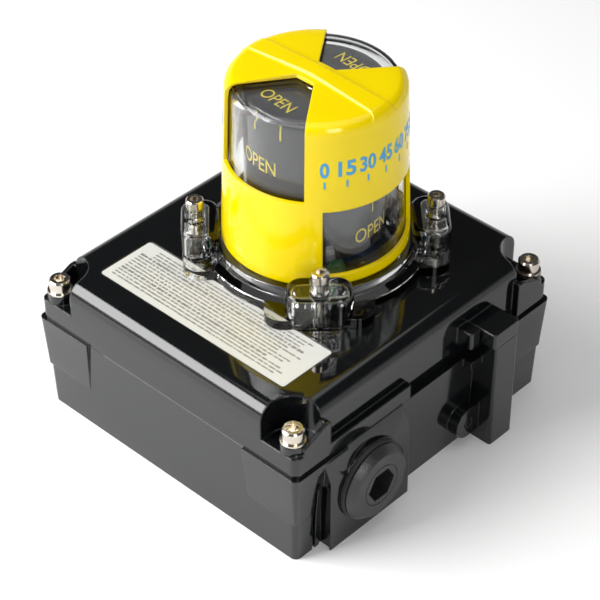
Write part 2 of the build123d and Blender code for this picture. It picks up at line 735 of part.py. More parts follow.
def sensor_block(bottom, name):
    """Sealed proximity sensor with two through holes and a cable exit."""
    with BuildPart() as sensor:
        with BuildSketch(Plane.XY.offset(bottom)):
            with Locations((0, 26.6)):
                RectangleRounded(34, 17.0, 1.5)
        extrude(amount=8.6)
        chamfer(sensor.faces().sort_by(Axis.Y)[0].edges(), length=0.8)
        with BuildSketch(Plane.XY.offset(bottom + 4.3)):
            with Locations((19.0, 28.5)):
                Rectangle(5, 5)
        extrude(amount=2.2, both=True)
        with BuildSketch(Plane.XZ.offset(-40.0)):
            with Locations((-11, bottom + 4.3), (11, bottom + 4.3)):
                Circle(1.7)
        extrude(amount=40, mode=Mode.SUBTRACT)
    save(sensor.part, name)


sensor_block(38.7, "lower_sensor")
sensor_block(48.9, "upper_sensor")

fixing = pan_screw(2.9, 1.8, 1.45, 21.0)
with BuildPart() as sensor_screws:
    for z in (43.0, 53.2):
        with Locations(Plane(origin=(-11, 18.05, z), z_dir=(0, -1, 0))):
            add(fixing)
        with Locations(Plane(origin=(11, 18.05, z), z_dir=(0, -1, 0))):
            add(fixing)
save(sensor_screws.part, "sensor_screws")

floor_fixing = pan_screw(3.2, 2.0, 1.55, 8.0)
with BuildPart() as bracket_screws:
    with Locations((-14, 42, FLOOR + 5.5), (14, 42, FLOOR + 5.5)):
        add(floor_fixing)
save(bracket_screws.part, "bracket_screws")


# ----------------------------------------------------------- terminal strip
# Eight-way moulded terminal block on two floor bosses near the nameplate side.
WAYS = 8
PITCH = 9.4
with BuildPart() as strip:
    with BuildSketch(Plane.XY.offset(FLOOR + 4)):
        with Locations((0, -60)):
            RectangleRounded(86, 19, 1.5)
    extrude(amount=16)
    for side in (-1, 1):
        with BuildSketch(Plane.XY.offset(FLOOR + 12)):
            with Locations((0, -60 + side * 8.0)):
                Rectangle(90, 6.5)
        extrude(amount=10, mode=Mode.SUBTRACT)
    with BuildSketch(Plane.XY.offset(FLOOR + 12)):
        with Locations((-40.5, -60), (40.5, -60)):
            Rectangle(8.6, 20)
    extrude(amount=10, mode=Mode.SUBTRACT)
    with BuildSketch(Plane.XY.offset(FLOOR + 12.5)):
        with Locations((-39.5, -60), (39.5, -60)):
            Circle(1.8)
    extrude(amount=-10, mode=Mode.SUBTRACT)
    # screw wells along the ridge and wire funnels on both long sides
    with BuildSketch(Plane.XY.offset(FLOOR + 20)):
        with Locations((0, -60)):
            with GridLocations(PITCH, 0, WAYS, 1):
                Circle(2.6)
    extrude(amount=-6, mode=Mode.SUBTRACT)
    for side in (-1, 1):
        with BuildSketch(Plane.XZ.offset(60 - side * 9.5)):
            with Locations((0, FLOOR + 8)):
                with GridLocations(PITCH, 0, WAYS, 1):
                    Rectangle(5.4, 4.6)
        extrude(amount=side * 5.0, mode=Mode.SUBTRACT)
save(strip.part, "terminal_strip")

with BuildPart() as terminal_screws:
    with Locations((0, -60, FLOOR + 15.0)):
        with GridLocations(PITCH, 0, WAYS, 1):
            add(pan_screw(2.3, 1.8, 1.0, 0.8))
save(terminal_screws.part, "terminal_screws")

with BuildPart() as strip_screws:
    with Locations((-39.5, -60, FLOOR + 12.0), (39.5, -60, FLOOR + 12.0)):
        add(pan_screw(3.0, 2.0, 1.55, 14.0))
save(strip_screws.part, "strip_screws")

with BuildPart() as earth_screw:
    with Locations((50, -18, FLOOR + 5.0)):
        add(pan_screw(3.6, 2.2, 1.6, 7.5))
save(earth_screw.part, "earth_screw")

with BuildPart() as earth_washer:
    with BuildSketch(Plane.XY.offset(FLOOR + 4.0)):
        with Locations((50, -18)):
            Circle(4.6)
            Circle(1.75, mode=Mode.SUBTRACT)
    extrude(amount=1.0)
save(earth_washer.part, "earth_washer")


# ------------------------------------------------------------- conduit plug
# Moulded hexagon-socket plug with a coned head, on a flat sealing ring.
with BuildPart() as plug:
    with BuildSketch(Plane.XY):
        with BuildLine():
            Polyline(
                (0, -9.5),
                (11.0, -9.5),
                (11.8, -8.7),
                (11.8, 0),
                (16.2, 0),
                (16.4, 0.9),
                (14.0, 3.5),
                (13.4, 3.9),
                (0, 3.9),
                close=True,
            )
        make_face()
    revolve(axis=Axis.Y)
    with BuildSketch(Plane.XZ.offset(-3.9)):
        RegularPolygon(12.4 / math.sqrt(3), 6)
    extrude(amount=8.5, mode=Mode.SUBTRACT)
    with BuildSketch(Plane.XZ.offset(-3.9)):
        Circle(8.9)
        Circle(8.5, mode=Mode.SUBTRACT)
    extrude(amount=0.35, mode=Mode.SUBTRACT)
with BuildPart() as conduit_plug:
    with Locations(Location(Plane(origin=(BOSS_X + 1.6, ENTRY_Y, ENTRY_Z), x_dir=(0, -1, 0), z_dir=(0, 0, 1)))):
        add(plug.part)
save(conduit_plug.part, "conduit_plug")

with BuildPart() as plug_seal:
    with BuildSketch(Plane.YZ.offset(BOSS_X)):
        with Locations((ENTRY_Y, ENTRY_Z)):
            Circle(16.8)
            Circle(12.2, mode=Mode.SUBTRACT)
    extrude(amount=1.58)
    fillet(plug_seal.edges().filter_by(GeomType.CIRCLE).sort_by(Axis.X)[-1], radius=0.4)
save(plug_seal.part, "plug_seal")
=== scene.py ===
import bpy
import bmesh
import math
import random
from mathutils import Matrix, Vector


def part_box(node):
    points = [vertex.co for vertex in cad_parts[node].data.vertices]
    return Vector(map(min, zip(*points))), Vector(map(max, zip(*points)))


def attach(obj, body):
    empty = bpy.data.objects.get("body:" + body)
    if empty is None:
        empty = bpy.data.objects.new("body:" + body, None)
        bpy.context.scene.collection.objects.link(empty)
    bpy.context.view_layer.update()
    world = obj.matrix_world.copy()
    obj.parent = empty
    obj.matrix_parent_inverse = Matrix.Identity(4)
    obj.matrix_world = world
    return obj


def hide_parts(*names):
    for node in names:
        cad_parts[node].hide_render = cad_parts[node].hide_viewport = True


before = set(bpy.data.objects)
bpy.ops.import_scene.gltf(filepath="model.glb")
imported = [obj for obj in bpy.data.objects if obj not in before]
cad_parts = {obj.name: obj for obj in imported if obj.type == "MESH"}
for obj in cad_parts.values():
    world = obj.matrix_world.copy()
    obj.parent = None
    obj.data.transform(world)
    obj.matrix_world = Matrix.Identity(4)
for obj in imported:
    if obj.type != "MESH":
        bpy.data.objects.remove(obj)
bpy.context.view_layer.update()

MM = 0.001

# ---------------------------------------------------------------------------
# Base housing.  Deep tray moulded in glass-filled resin, glossy from the tool,
# with slightly softened corners and bolt holes in its floor.
# ---------------------------------------------------------------------------
RESIN_BLACK = (0.0030, 0.0034, 0.0038, 1)
RESIN_BLACK_WORN = (0.0050, 0.0055, 0.0060, 1)


def moulded_resin(name, colour, second_colour, gloss, ripple=0.04, grain=0.0, edge=0.35):
    """Injection-moulded resin: faint flow ripple, fine grain and softened edges."""
    material = bpy.data.materials.new(name)
    material.use_nodes = True
    nodes = material.node_tree.nodes
    links = material.node_tree.links
    shader = nodes["Principled BSDF"]
    place = nodes.new("ShaderNodeTexCoord")
    clouds = nodes.new("ShaderNodeTexNoise")
    clouds.inputs["Scale"].default_value = 38
    clouds.inputs["Detail"].default_value = 3
    links.new(place.outputs["Object"], clouds.inputs["Vector"])
    tint = nodes.new("ShaderNodeMix")
    tint.data_type = "RGBA"
    tint.inputs["A"].default_value = colour
    tint.inputs["B"].default_value = second_colour
    links.new(clouds.outputs["Fac"], tint.inputs["Factor"])
    links.new(tint.outputs["Result"], shader.inputs["Base Color"])
    handling = nodes.new("ShaderNodeTexNoise")
    handling.inputs["Scale"].default_value = 90
    handling.inputs["Detail"].default_value = 6
    links.new(place.outputs["Object"], handling.inputs["Vector"])
    polish = nodes.new("ShaderNodeMapRange")
    polish.inputs["From Min"].default_value = 0.3
    polish.inputs["From Max"].default_value = 0.75
    polish.inputs["To Min"].default_value = gloss * 0.8
    polish.inputs["To Max"].default_value = gloss * 1.5
    links.new(handling.outputs["Fac"], polish.inputs["Value"])
    links.new(polish.outputs["Result"], shader.inputs["Roughness"])
    softened = nodes.new("ShaderNodeBevel")
    softened.samples = 4
    softened.inputs["Radius"].default_value = edge * MM
    flow = nodes.new("ShaderNodeTexNoise")
    flow.inputs["Scale"].default_value = 22
    flow.inputs["Detail"].default_value = 1
    links.new(place.outputs["Object"], flow.inputs["Vector"])
    waves = nodes.new("ShaderNodeBump")
    waves.inputs["Strength"].default_value = ripple
    waves.inputs["Distance"].default_value = 0.002
    links.new(flow.outputs["Fac"], waves.inputs["Height"])
    links.new(softened.outputs["Normal"], waves.inputs["Normal"])
    surface = waves
    if grain:
        speckle = nodes.new("ShaderNodeTexNoise")
        speckle.inputs["Scale"].default_value = 1500
        speckle.inputs["Detail"].default_value = 2
        links.new(place.outputs["Object"], speckle.inputs["Vector"])
        texture = nodes.new("ShaderNodeBump")
        texture.inputs["Strength"].default_value = grain
        texture.inputs["Distance"].default_value = 0.0003
        links.new(speckle.outputs["Fac"], texture.inputs["Height"])
        links.new(waves.outputs["Normal"], texture.inputs["Normal"])
        surface = texture
    links.new(surface.outputs["Normal"], shader.inputs["Normal"])
    shader.inputs["IOR"].default_value = 1.58
    return material


def finish(node, material):
    """Give a carried-over piece its material."""
    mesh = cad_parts[node].data
    mesh.materials.clear()
    mesh.materials.append(material)


def smooth_copy(node, name, material, body, crease=32):
    """Seamless copy of a piece, smooth across its curved faces, that stands for it."""
    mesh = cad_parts[node].data.copy()
    mesh.name = name
    shell = bmesh.new()
    shell.from_mesh(mesh)
    bmesh.ops.remove_doubles(shell, verts=shell.verts, dist=0.002 * MM)
    shell.to_mesh(mesh)
    shell.free()
    if mesh.has_custom_normals:
        mesh.attributes.remove(mesh.attributes["custom_normal"])
    mesh.materials.clear()
    mesh.materials.append(material)
    for face in mesh.polygons:
        face.use_smooth = True
    mesh.set_sharp_from_angle(angle=math.radians(crease))
    piece = bpy.data.objects.new(name, mesh)
    bpy.context.scene.collection.objects.link(piece)
    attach(piece, body)
    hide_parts(node)
    return piece


housing_resin = moulded_resin(
    "housing_resin_gloss", RESIN_BLACK, RESIN_BLACK_WORN, 0.09, edge=0.6
)
smooth_copy("base_housing", "base_housing_shell", housing_resin, "case")

# ---------------------------------------------------------------------------
# Lid.  Same resin as the base with a higher polish; it carries the indicator
# and is held down by four captive cover screws in scalloped corner pockets.
# ---------------------------------------------------------------------------
lid_resin = moulded_resin(
    "lid_resin_gloss", RESIN_BLACK, RESIN_BLACK_WORN, 0.045, ripple=0.03, edge=1.1
)
smooth_copy("lid", "lid_shell", lid_resin, "lid_assembly")

# ---------------------------------------------------------------------------
# Seals.  Black nitrile: flat cord in the base rim, ring under the dome flange,
# O-ring on the shaft and flat washer behind the conduit plug.
# ---------------------------------------------------------------------------
SEAL_BLACK = (0.018, 0.018, 0.018, 1)
SEAL_BLOOM = (0.035, 0.035, 0.034, 1)
seal_rubber = moulded_resin(
    "seal_rubber_matt", SEAL_BLACK, SEAL_BLOOM, 0.5, ripple=0.05, grain=0.15
)
for seal in ("lid_gasket", "dome_gasket", "shaft_seal", "plug_seal"):
    finish(seal, seal_rubber)

# ---------------------------------------------------------------------------
# Stainless screws, washers and shaft.  Turned and bright, with fine lathe lines
# and faint patches of straw colour.
# ---------------------------------------------------------------------------
STAINLESS = (0.62, 0.60, 0.57, 1)
STAINLESS_STRAW = (0.66, 0.58, 0.46, 1)


def turned_metal(name, colour, second_colour, roughness, line_scale=1400, edge=0.12):
    """Machined metal: fine tool lines round the axis and softened edges."""
    material = bpy.data.materials.new(name)
    material.use_nodes = True
    nodes = material.node_tree.nodes
    links = material.node_tree.links
    shader = nodes["Principled BSDF"]
    shader.inputs["Metallic"].default_value = 1
    place = nodes.new("ShaderNodeTexCoord")
    squeeze = nodes.new("ShaderNodeMapping")
    squeeze.inputs["Scale"].default_value = (0.15, 0.15, 1)
    links.new(place.outputs["Object"], squeeze.inputs["Vector"])
    tool_lines = nodes.new("ShaderNodeTexNoise")
    tool_lines.inputs["Scale"].default_value = line_scale
    tool_lines.inputs["Detail"].default_value = 3
    links.new(squeeze.outputs["Vector"], tool_lines.inputs["Vector"])
    patches = nodes.new("ShaderNodeTexNoise")
    patches.inputs["Scale"].default_value = 160
    patches.inputs["Detail"].default_value = 3
    links.new(place.outputs["Object"], patches.inputs["Vector"])
    tint = nodes.new("ShaderNodeMix")
    tint.data_type = "RGBA"
    tint.inputs["A"].default_value = colour
    tint.inputs["B"].default_value = second_colour
    links.new(patches.outputs["Fac"], tint.inputs["Factor"])
    links.new(tint.outputs["Result"], shader.inputs["Base Color"])
    polish = nodes.new("ShaderNodeMapRange")
    polish.inputs["To Min"].default_value = roughness * 0.6
    polish.inputs["To Max"].default_value = roughness * 1.5
    links.new(tool_lines.outputs["Fac"], polish.inputs["Value"])
    links.new(polish.outputs["Result"], shader.inputs["Roughness"])
    softened = nodes.new("ShaderNodeBevel")
    softened.samples = 4
    softened.inputs["Radius"].default_value = edge * MM
    ridges = nodes.new("ShaderNodeBump")
    ridges.inputs["Strength"].default_value = 0.12
    ridges.inputs["Distance"].default_value = 0.0001
    links.new(tool_lines.outputs["Fac"], ridges.inputs["Height"])
    links.new(softened.outputs["Normal"], ridges.inputs["Normal"])
    links.new(ridges.outputs["Normal"], shader.inputs["Normal"])
    return material


stainless = turned_metal("stainless_turned", STAINLESS, STAINLESS_STRAW, 0.2)
smooth_copy("lid_screws", "lid_screw_set", stainless, "lid_assembly")
smooth_copy("dome_screws", "dome_screw_set", stainless, "lid_assembly")
smooth_copy("shaft", "drive_shaft", stainless, "shaft_assembly")
for piece in ("lid_washers", "rotor_screw", "sensor_screws", "bracket_screws", "strip_screws"):
    finish(piece, stainless)

# ---------------------------------------------------------------------------
# Indicator dome.  One-piece clear polycarbonate moulding, polished, with four
# cored pods for its screws; it seals on the lid.
# ---------------------------------------------------------------------------
def clear_moulding(name):
    """Clear polished resin with faint flow lines."""
    material = bpy.data.materials.new(name)
    material.use_nodes = True
    nodes = material.node_tree.nodes
    links = material.node_tree.links
    shader = nodes["Principled BSDF"]
    shader.inputs["Base Color"].default_value = (0.97, 0.98, 0.98, 1)
    shader.inputs["Transmission Weight"].default_value = 1
    shader.inputs["IOR"].default_value = 1.5
    place = nodes.new("ShaderNodeTexCoord")
    flow = nodes.new("ShaderNodeTexNoise")
    flow.inputs["Scale"].default_value = 60
    flow.inputs["Detail"].default_value = 2
    links.new(place.outputs["Object"], flow.inputs["Vector"])
    polish = nodes.new("ShaderNodeMapRange")
    polish.inputs["To Min"].default_value = 0.0
    polish.inputs["To Max"].default_value = 0.04
    links.new(flow.outputs["Fac"], polish.inputs["Value"])
    links.new(polish.outputs["Result"], shader.inputs["Roughness"])
    softened = nodes.new("ShaderNodeBevel")
    softened.samples = 4
    softened.inputs["Radius"].default_value = 0.5 * MM
    waves = nodes.new("ShaderNodeBump")
    waves.inputs["Strength"].default_value = 0.06
    waves.inputs["Distance"].default_value = 0.001
    links.new(flow.outputs["Fac"], waves.inputs["Height"])
    links.new(softened.outputs["Normal"], waves.inputs["Normal"])
    links.new(waves.outputs["Normal"], shader.inputs["Normal"])
    return material


clear_resin = clear_moulding("dome_clear_resin")
smooth_copy("indicator_dome", "indicator_dome_clear", clear_resin, "lid_assembly")

# ---------------------------------------------------------------------------
# Indicator cover.  Opaque yellow moulding pushed over the dome; its windows
# show only the legend that belongs to the shaft's position.
# ---------------------------------------------------------------------------
COVER_YELLOW = (0.80, 0.62, 0.0, 1)
COVER_YELLOW_DEEP = (0.77, 0.57, 0.0, 1)
cover_resin = moulded_resin(
    "cover_yellow_gloss", COVER_YELLOW, COVER_YELLOW_DEEP, 0.11, ripple=0.05, edge=0.7
)
cover_shader = cover_resin.node_tree.nodes["Principled BSDF"]
cover_shader.inputs["Specular IOR Level"].default_value = 0.3
cover_shader.inputs["Subsurface Weight"].default_value = 0.08
cover_shader.inputs["Subsurface Radius"].default_value = (0.002, 0.001, 0.0002)
cover = smooth_copy(
    "indicator_cover", "indicator_cover_yellow", cover_resin, "lid_assembly", 28
)

# Painted shade: the inward faces and the ceiling of the cover get a darker amber colour, standing
# in for the light that reaches them only through the yellow moulding.
COVER_INSIDE_PAINTED_SHADE = (0.70, 0.19, 0.005, 1)
COVER_INSIDE_PAINTED_SHADE_DEEP = (0.60, 0.15, 0.004, 1)
FACES_INWARD = -0.6
FACES_DOWN = -0.7
COVER_CROWN_Z = 120 * MM         # above this, faces that look down are the ceiling
# Second material of the cover: painted amber shade for its inside, not a colour the moulding has.
inside_painted_shade_resin = moulded_resin("cover_inside_painted_shade", COVER_INSIDE_PAINTED_SHADE, COVER_INSIDE_PAINTED_SHADE_DEEP, 0.2)
cover.data.materials.append(inside_painted_shade_resin)
for face in cover.data.polygons:
    outward = Vector((face.center.x, face.center.y, 0)).normalized()
    ceiling = face.normal.z < FACES_DOWN and face.center.z > COVER_CROWN_Z
    if face.normal.dot(outward) < FACES_INWARD or ceiling:
        face.material_index = 1

# Degree scale printed on both closed sides of the cover, in blue.
SCALE_BLUE = (0.03, 0.29, 0.55, 1)


def printed_ink(name, colour):
    """Pad-printed ink, slightly uneven in cover."""
    thin_cover = [0.92 * c for c in colour[:3]] + [1]
    return moulded_resin(name, colour, thin_cover, 0.3, ripple=0.02, edge=0.01)


def word_mesh(words, width, height, depth, weight=0.0):
    """Flat lettering centred on the origin, facing +Z, as a mesh."""
    curve = bpy.data.curves.new("lettering", "FONT")
    curve.body = words
    curve.offset = weight
    curve.extrude = 0.5
    lettering = bpy.data.objects.new("lettering", curve)
    bpy.context.scene.collection.objects.link(lettering)
    bpy.context.view_layer.update()
    depsgraph = bpy.context.evaluated_depsgraph_get()
    mesh = bpy.data.meshes.new_from_object(lettering.evaluated_get(depsgraph))
    bpy.data.objects.remove(lettering)
    xs = [v.co.x for v in mesh.vertices]
    ys = [v.co.y for v in mesh.vertices]
    middle = Vector(((min(xs) + max(xs)) / 2, (min(ys) + max(ys)) / 2, 0))
    mesh.transform(Matrix.Translation(-middle))
    span = Vector((max(xs) - min(xs), max(ys) - min(ys), 1))
    mesh.transform(Matrix.Diagonal((width / span.x, height / span.y, depth, 1)))
    return mesh


def wrap_round(mesh, radius, azimuth, height, taper=0.0):
    """Wrap a flat mesh round the vertical axis; taper is the wall's lean per metre of height."""
    for vertex in mesh.vertices:
        angle = math.radians(azimuth) + vertex.co.x / radius
        out = radius + vertex.co.z - taper * vertex.co.y
        up = height + vertex.co.y
        vertex.co = (out * math.cos(angle), out * math.sin(angle), up)


def printed_piece(name, meshes, material, body):
    """Join printed marks into one piece on its carrier."""
    joined = bmesh.new()
    for mesh in meshes:
        joined.from_mesh(mesh)
    bmesh.ops.recalc_face_normals(joined, faces=joined.faces)
    whole = bpy.data.meshes.new(name)
    joined.to_mesh(whole)
    joined.free()
    whole.materials.append(material)
    piece = bpy.data.objects.new(name, whole)
    bpy.context.scene.collection.objects.link(piece)
    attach(piece, body)
    return piece


def tick_mesh(width, height, depth):
    """One upright scale mark."""
    bar = bmesh.new()
    bmesh.ops.create_cube(bar, size=1)
    bmesh.ops.scale(bar, vec=(width, height, depth), verts=bar.verts)
    mesh = bpy.data.meshes.new("tick")
    bar.to_mesh(mesh)
    bar.free()
    return mesh


COVER_FOOT_R = 37.0 * MM
COVER_FOOT_Z = 77.05 * MM
COVER_HEAD_R = 34.6 * MM
COVER_HEAD_Z = 143.0 * MM
COVER_TAPER = (COVER_FOOT_R - COVER_HEAD_R) / (COVER_HEAD_Z - COVER_FOOT_Z)
SCALE_Z = 129.0 * MM
TICK_Z = 122.4 * MM
SCALE_STEPS = 7
SCALE_STEP = 15                  # degrees of valve travel between numbers
SCALE_START = -42                # where the first number stands on the cover
SCALE_PITCH = 14                 # degrees round the cover between numbers
DIGIT_WIDTH = 3.5 * MM
DIGIT_HEIGHT = 6.6 * MM
DIGIT_WEIGHT = 0.03
SCALE_TICK = (0.8 * MM, 3.0 * MM)
INK = 0.12 * MM


def cover_radius(height):
    """Outside radius of the cover's wall at a height."""
    return COVER_FOOT_R - COVER_TAPER * (height - COVER_FOOT_Z)


scale_marks = []
for facing in (0, 180):
    for step in range(SCALE_STEPS):
        number = str(SCALE_STEP * step)
        offset = SCALE_START + SCALE_PITCH * step
        digits = word_mesh(number, DIGIT_WIDTH * len(number), DIGIT_HEIGHT, INK, DIGIT_WEIGHT)
        wrap_round(digits, cover_radius(SCALE_Z), facing + offset, SCALE_Z, COVER_TAPER)
        scale_marks.append(digits)
        tick = tick_mesh(*SCALE_TICK, INK)
        wrap_round(tick, cover_radius(TICK_Z), facing + offset, TICK_Z, COVER_TAPER)
        scale_marks.append(tick)
scale_ink = printed_ink("scale_blue_ink", SCALE_BLUE)
printed_piece("cover_scale", scale_marks, scale_ink, "lid_assembly")

# ---------------------------------------------------------------------------
# Indicator rotor.  Black drum fixed to the shaft by one screw, with yellow
# legends and marks printed on its side in two bands and on its top.
# ---------------------------------------------------------------------------
ROTOR_BLACK = (0.014, 0.014, 0.016, 1)
ROTOR_BLACK_2 = (0.02, 0.02, 0.022, 1)
LEGEND_YELLOW = (0.78, 0.62, 0.02, 1)
ROTOR_R = 27.6 * MM
ROTOR_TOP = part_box("indicator_rotor")[1].z
rotor_resin = moulded_resin("rotor_black_gloss", ROTOR_BLACK, ROTOR_BLACK_2, 0.1, ripple=0.03)
smooth_copy("indicator_rotor", "indicator_rotor_drum", rotor_resin, "shaft_assembly")

UPPER_BAND = 121.5 * MM
LOWER_BAND = 90.3 * MM
OPEN_WIDTH = 17.4 * MM
CLOSED_WIDTH = 23.0 * MM
LEGEND_HEIGHT = 6.2 * MM
LEGENDS = (
    ("OPEN", OPEN_WIDTH, -97, UPPER_BAND),
    ("OPEN", OPEN_WIDTH, 83, UPPER_BAND),
    ("OPEN", OPEN_WIDTH, 3, LOWER_BAND),
    ("OPEN", OPEN_WIDTH, 183, LOWER_BAND),
    ("CLOSED", CLOSED_WIDTH, -7, UPPER_BAND),
    ("CLOSED", CLOSED_WIDTH, 173, UPPER_BAND),
    ("CLOSED", CLOSED_WIDTH, -87, LOWER_BAND),
    ("CLOSED", CLOSED_WIDTH, 93, LOWER_BAND),
)
MARK_WIDTH = 0.6 * MM
PAIR_MARK_HEIGHT = 6.4 * MM
PAIR_TURN = 3                    # the pairs stand over the legends, a little round
PAIR_DROP = 4.6 * MM             # from the drum's top edge
LOW_MARK_HEIGHT = 4.0 * MM
LOW_MARK_TURN = 2
LOW_MARK_Z = 100.6 * MM
TOP_LEGEND_HEIGHT = 5.6 * MM
TOP_LEGEND_OUT = 18.6 * MM
TOP_LEGEND_TURN = -6
TOP_LEGENDS = (
    (0, "OPEN", 16.4), (180, "OPEN", 16.4), (90, "CLOSED", 20.0), (270, "CLOSED", 20.0)
)
legend_marks = []
for words, width, azimuth, height in LEGENDS:
    letters = word_mesh(words, width, LEGEND_HEIGHT, INK)
    wrap_round(letters, ROTOR_R, azimuth, height)
    legend_marks.append(letters)
for azimuth in range(0, 360, 90):
    for side in (-12.5, 12.5):
        tick = tick_mesh(MARK_WIDTH, PAIR_MARK_HEIGHT, INK)
        wrap_round(tick, ROTOR_R, azimuth + PAIR_TURN + side, ROTOR_TOP - PAIR_DROP)
        legend_marks.append(tick)
    tick = tick_mesh(MARK_WIDTH, LOW_MARK_HEIGHT, INK)
    wrap_round(tick, ROTOR_R, azimuth + LOW_MARK_TURN, LOW_MARK_Z)
    legend_marks.append(tick)
for turn, words, width in TOP_LEGENDS:
    letters = word_mesh(words, width * MM, TOP_LEGEND_HEIGHT, INK)
    letters.transform(Matrix.Translation((0, -TOP_LEGEND_OUT, ROTOR_TOP)))
    letters.transform(Matrix.Rotation(math.radians(turn + TOP_LEGEND_TURN), 4, "Z"))
    legend_marks.append(letters)
legend_ink = printed_ink("legend_yellow_ink", LEGEND_YELLOW)
printed_piece("rotor_legends", legend_marks, legend_ink, "shaft_assembly")

# ---------------------------------------------------------------------------
# Nameplate.  Thin silvered film stuck flat on the lid, printed with fine rows
# of unreadable small print, two of them heavier.
# ---------------------------------------------------------------------------
PLATE_X = 48.8 * MM
PLATE_Y0 = -69.6 * MM
PLATE_Y1 = -43.1 * MM
PLATE_THICK = 0.15 * MM
PLATE_CORNER = 1.2 * MM
LID_TOP = 67.55 * MM             # floor of the shallow seat in the lid
FILM_SILVER = (0.60, 0.60, 0.565, 1)
FILM_SILVER_2 = (0.56, 0.56, 0.53, 1)

film = bmesh.new()
bmesh.ops.create_cube(film, size=1)
bmesh.ops.scale(film, vec=(2 * PLATE_X, PLATE_Y1 - PLATE_Y0, PLATE_THICK), verts=film.verts)
plate_centre = (0, (PLATE_Y0 + PLATE_Y1) / 2, LID_TOP + PLATE_THICK / 2)
bmesh.ops.translate(film, vec=plate_centre, verts=film.verts)
upright = [e for e in film.edges if abs(e.verts[0].co.z - e.verts[1].co.z) > PLATE_THICK / 2]
bmesh.ops.bevel(
    film, geom=upright, offset=PLATE_CORNER, offset_type="OFFSET", segments=5, profile=0.5,
    affect="EDGES", material=-1,
)
film_mesh = bpy.data.meshes.new("nameplate")
film.to_mesh(film_mesh)
film.free()
film_material = moulded_resin(
    "nameplate_film", FILM_SILVER, FILM_SILVER_2, 0.32, ripple=0.02, grain=0.05, edge=0.05
)
film_mesh.materials.append(film_material)
nameplate = bpy.data.objects.new("nameplate", film_mesh)
bpy.context.scene.collection.objects.link(nameplate)
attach(nameplate, "lid_assembly")

# Small print: rows of strokes, grouped to word length.
print_rng = random.Random(7)
PRINT_DARK = (0.06, 0.055, 0.05, 1)
PRINT_DEPTH = 0.02 * MM
STROKE = 0.42 * MM
STROKE_PITCH = 0.62 * MM
WORD_GAP = 0.75 * MM
LIGHT_PRINT = 0.75
HEAVY_PRINT = 1.15
HEAVY_ROWS = (3, 9)
dashes = bmesh.new()


def print_bar(x0, x1, y, thickness):
    """One printed stroke on the film."""
    made = bmesh.ops.create_cube(dashes, size=1)["verts"]
    bmesh.ops.scale(dashes, vec=(x1 - x0, thickness, PRINT_DEPTH), verts=made)
    centre = ((x0 + x1) / 2, y, LID_TOP + PLATE_THICK + PRINT_DEPTH / 2)
    bmesh.ops.translate(dashes, vec=centre, verts=made)


ROWS = 13
ROW_STEP = (PLATE_Y1 - PLATE_Y0 - 4.0 * MM) / ROWS
for row in range(ROWS):
    y = PLATE_Y1 - 2.4 * MM - row * ROW_STEP
    x = -PLATE_X + (3.0 if row > 2 else 8.0) * MM
    end = PLATE_X - (4.0 + 14.0 * print_rng.random()) * MM
    size = HEAVY_PRINT if row in HEAVY_ROWS else LIGHT_PRINT
    while x < end:
        word = (0.9 + 2.6 * print_rng.random()) * MM
        letter = x
        while letter < x + word:
            level = y + 0.12 * MM * (print_rng.random() - 0.5)
            height = size * MM * (0.7 + 0.5 * print_rng.random())
            print_bar(letter, letter + STROKE, level, height)
            letter += STROKE_PITCH
        x += word + WORD_GAP
dash_mesh = bpy.data.meshes.new("nameplate_print")
dashes.to_mesh(dash_mesh)
dashes.free()
dash_mesh.materials.append(printed_ink("nameplate_ink", PRINT_DARK))
small_print = bpy.data.objects.new("nameplate_print", dash_mesh)
bpy.context.scene.collection.objects.link(small_print)
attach(small_print, "lid_assembly")

# ---------------------------------------------------------------------------
# Conduit plug.  Matt black nylon with a coned head, sparked texture on its
# ring face and a hexagon socket.
# ---------------------------------------------------------------------------
PLUG_BLACK = (0.009, 0.009, 0.009, 1)
PLUG_BLACK_2 = (0.015, 0.015, 0.014, 1)
plug_resin = moulded_resin(
    "plug_textured_resin", PLUG_BLACK, PLUG_BLACK_2, 0.32, ripple=0.05, grain=0.5
)
smooth_copy("conduit_plug", "conduit_plug_head", plug_resin, "case")

# ---------------------------------------------------------------------------
# Inside fittings: bronze bushings, plated bracket, sensors, cams, terminal
# strip and earth point, each in its own ordinary finish.
# ---------------------------------------------------------------------------
bronze = turned_metal("bushing_bronze", (0.58, 0.38, 0.17, 1), (0.52, 0.33, 0.15, 1), 0.35)
plated = turned_metal("zinc_plate", (0.60, 0.61, 0.60, 1), (0.55, 0.56, 0.52, 1), 0.3, 500)
brass = turned_metal("earth_brass", (0.74, 0.56, 0.24, 1), (0.68, 0.5, 0.2, 1), 0.25)
sensor_resin = moulded_resin(
    "sensor_blue_resin", (0.03, 0.07, 0.2, 1), (0.035, 0.08, 0.22, 1), 0.4, grain=0.2
)
terminal_resin = moulded_resin(
    "terminal_cream_resin", (0.62, 0.58, 0.47, 1), (0.58, 0.54, 0.43, 1), 0.45, grain=0.15
)
thrust_resin = moulded_resin("thrust_white_resin", (0.75, 0.75, 0.72, 1), (0.7, 0.7, 0.67, 1), 0.4)
red_resin = moulded_resin("cam_red_resin", (0.5, 0.03, 0.02, 1), (0.45, 0.025, 0.02, 1), 0.25)
green_resin = moulded_resin("cam_green_resin", (0.02, 0.3, 0.08, 1), (0.02, 0.27, 0.07, 1), 0.25)
for piece, material in (
    ("lower_bushing", bronze), ("upper_bushing", bronze), ("sensor_bracket", plated),
    ("terminal_screws", plated), ("retaining_ring", plated), ("cam_magnets", plated),
    ("cam_set_screws", plated), ("earth_screw", brass), ("earth_washer", brass),
    ("lower_sensor", sensor_resin), ("upper_sensor", sensor_resin),
    ("terminal_strip", terminal_resin), ("thrust_washer", thrust_resin),
    ("lower_cam", red_resin), ("upper_cam", green_resin),
):
    finish(piece, material)

